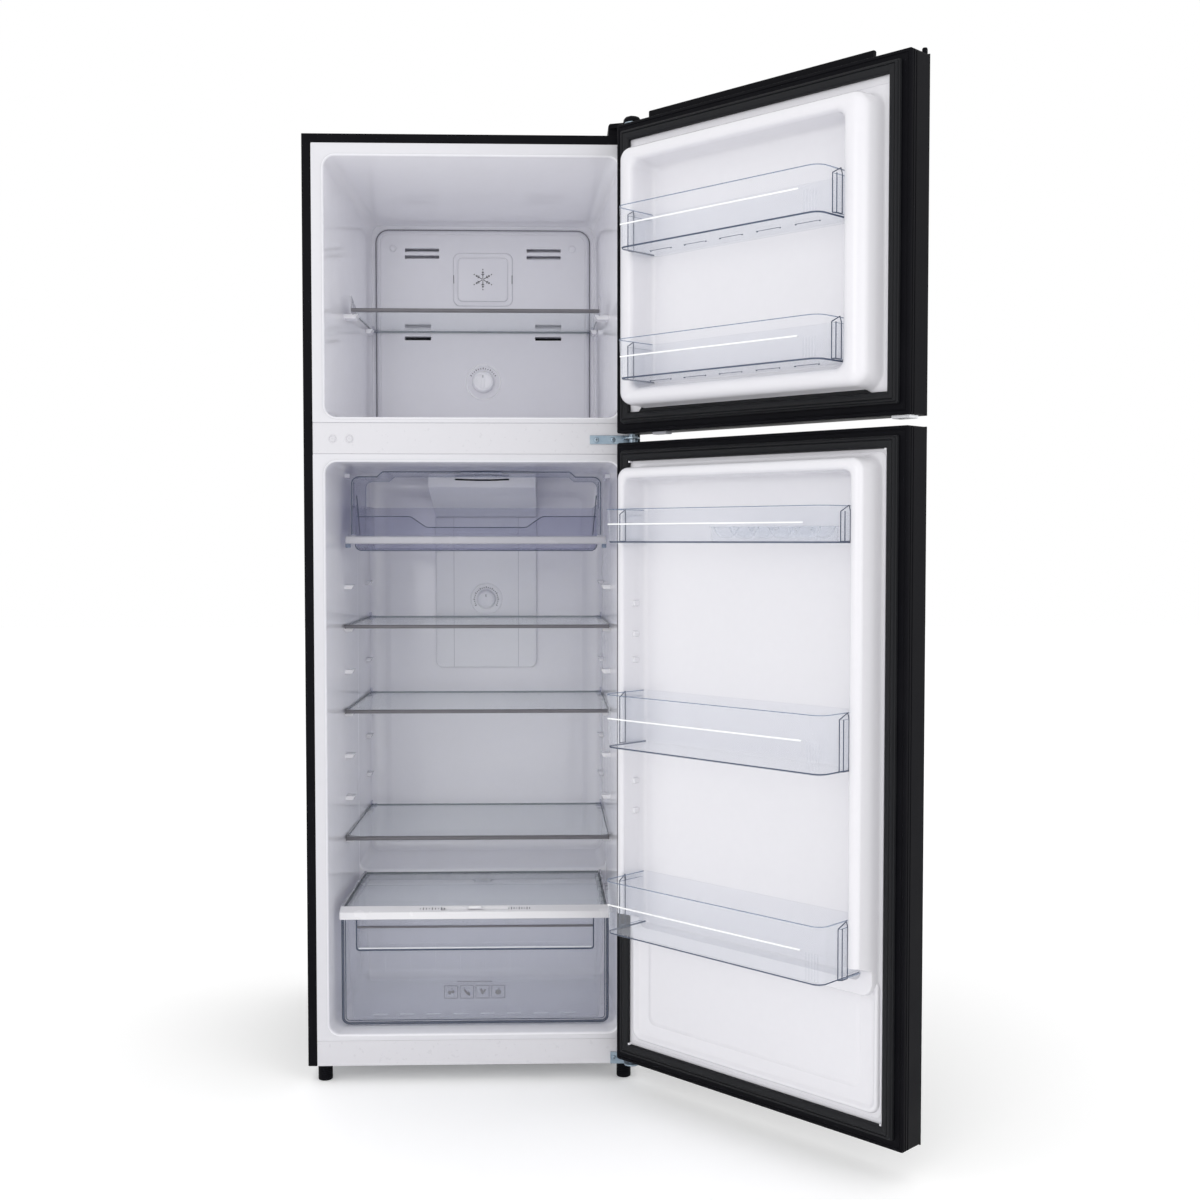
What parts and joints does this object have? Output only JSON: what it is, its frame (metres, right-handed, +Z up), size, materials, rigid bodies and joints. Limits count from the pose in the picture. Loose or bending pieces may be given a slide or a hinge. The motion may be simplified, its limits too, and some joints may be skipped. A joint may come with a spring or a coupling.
{
  "type": "top freezer refrigerator",
  "caption": "Free-standing two-door refrigerator with the freezer on top, both doors open, glass shelves, a chiller tray, a crisper drawer and clear door bins.",
  "frame": {"origin": "on the floor, under the middle of the whole object's box with both doors open", "axes": "+X to the right of a person facing the open front, +Y from the front to the back, +Z up"},
  "size_m": [1.0091, 1.0874, 1.733],
  "materials": {
    "black_steel": "satin black powder-coated steel",
    "black_plastic": "black moulded plastic, fine grain",
    "grey_steel": "galvanised steel sheet",
    "zinc_steel": "blue-passivated zinc plate",
    "white_plastic": "glossy vacuum-formed white plastic",
    "white_steel": "white painted steel",
    "clear_plastic": "clear moulded plastic, faint blue",
    "shelf_glass": "toughened clear glass, green edges",
    "grey_plastic": "dark grey moulded plastic",
    "light_trim": "light grey moulded plastic",
    "foam": "rigid polyurethane foam",
    "aluminium": "drawn aluminium tube and fins",
    "gasket_rubber": "soft black door seal",
    "compressor_paint": "black enamelled steel can",
    "copper": "copper-plated steel tube",
    "tyre_plastic": "black roller plastic"
  },
  "bodies": {
    "cabinet": {"air_duct_cover": "white_plastic", "back_panel": "grey_steel", "base_panel": "grey_steel", "bottom_hinge": "zinc_steel", "cabinet_foam": "foam", "centre_rail_cover": "white_plastic", "chiller_housing": "clear_plastic", "compressor": "compressor_paint", "compressor_rail": "grey_steel", "condenser_coil": "copper", "crisper_cover_frame": "light_trim", "crisper_cover_glass": "shelf_glass", "defrost_heater": "grey_steel", "evaporator_coil": "aluminium", "evaporator_cover": "white_plastic", "fan_motor": "black_plastic", "freezer_liner": "white_plastic", "freezer_shelf_glass": "shelf_glass", "freezer_shelf_trim": "grey_plastic", "fridge_liner": "white_plastic", "fridge_shelf_glass_1": "shelf_glass", "fridge_shelf_glass_2": "shelf_glass", "fridge_shelf_glass_3": "shelf_glass", "fridge_shelf_trim_1": "grey_plastic", "fridge_shelf_trim_2": "grey_plastic", "fridge_shelf_trim_3": "grey_plastic", "lamp_lens": "clear_plastic", "machine_room_cover": "grey_steel", "middle_hinge": "zinc_steel", "outer_shell": "black_steel", "toe_plate": "white_steel", "top_hinge": "zinc_steel", "top_hinge_cover": "black_plastic"},
    "freezer_door": {"freezer_door_panel": "black_steel", "freezer_door_frame": "black_plastic", "freezer_door_foam": "foam", "freezer_door_liner": "white_plastic", "freezer_door_gasket": "gasket_rubber", "freezer_bin_upper": "clear_plastic", "freezer_bin_lower": "clear_plastic"},
    "fridge_door": {"fridge_door_panel": "black_steel", "fridge_door_frame": "black_plastic", "fridge_door_foam": "foam", "fridge_door_liner": "white_plastic", "fridge_door_gasket": "gasket_rubber", "fridge_bin_top": "clear_plastic", "fridge_bin_middle": "clear_plastic", "fridge_bin_bottom": "clear_plastic", "egg_tray": "clear_plastic"},
    "crisper": {"crisper_drawer": "clear_plastic"},
    "chiller": {"chiller_tray": "clear_plastic", "chiller_handle": "light_trim"},
    "freezer_dial": {"freezer_dial": "white_plastic"},
    "fridge_dial": {"fridge_dial": "white_plastic"},
    "humidity_slider": {"humidity_slider": "grey_plastic"},
    "fan": {"fan_blade": "grey_plastic"},
    "roller_left": {"rear_roller_left": "tyre_plastic"},
    "roller_right": {"rear_roller_right": "tyre_plastic"},
    "foot_left": {"front_foot_left": "black_plastic"},
    "foot_right": {"front_foot_right": "black_plastic"}
  },
  "joints": [
    {"name": "freezer_door_hinge", "type": "hinge", "parent": "cabinet", "child": "freezer_door", "pos_m": [0.0784, -0.09219, 1.43], "axis": [0, 0, 1], "range_deg": [-134, 16]},
    {"name": "fridge_door_hinge", "type": "hinge", "parent": "cabinet", "child": "fridge_door", "pos_m": [0.0784, -0.09219, 0.6], "axis": [0, 0, 1], "range_deg": [-134, 16]},
    {"name": "crisper_slide", "type": "slide", "parent": "cabinet", "child": "crisper", "axis": [0, -1, 0], "range_m": [0, 0.24]},
    {"name": "chiller_slide", "type": "slide", "parent": "cabinet", "child": "chiller", "axis": [0, -1, 0], "range_m": [0, 0.2]},
    {"name": "freezer_dial_turn", "type": "hinge", "parent": "cabinet", "child": "freezer_dial", "pos_m": [-0.2053, 0.36501, 1.3076], "axis": [0, 1, 0], "range_deg": [-120, 120]},
    {"name": "fridge_dial_turn", "type": "hinge", "parent": "cabinet", "child": "fridge_dial", "pos_m": [-0.2053, 0.47251, 0.855], "axis": [0, 1, 0], "range_deg": [-120, 120]},
    {"name": "humidity_slide", "type": "slide", "parent": "cabinet", "child": "humidity_slider", "axis": [1, 0, 0], "range_m": [-0.045, 0.045]},
    {"name": "fan_spin", "type": "hinge", "parent": "cabinet", "child": "fan", "pos_m": [-0.2053, 0.38651, 1.5175], "axis": [0, 1, 0], "continuous": true},
    {"name": "roller_left_spin", "type": "hinge", "parent": "cabinet", "child": "roller_left", "pos_m": [-0.4453, 0.50251, 0.0145], "axis": [1, 0, 0], "continuous": true},
    {"name": "roller_right_spin", "type": "hinge", "parent": "cabinet", "child": "roller_right", "pos_m": [0.0347, 0.50251, 0.0145], "axis": [1, 0, 0], "continuous": true},
    {"name": "foot_left_turn", "type": "hinge", "parent": "cabinet", "child": "foot_left", "pos_m": [-0.4773, -0.03749, 0], "axis": [0, 0, 1], "continuous": true},
    {"name": "foot_right_turn", "type": "hinge", "parent": "cabinet", "child": "foot_right", "pos_m": [0.0667, -0.03749, 0], "axis": [0, 0, 1], "continuous": true}
  ]
}
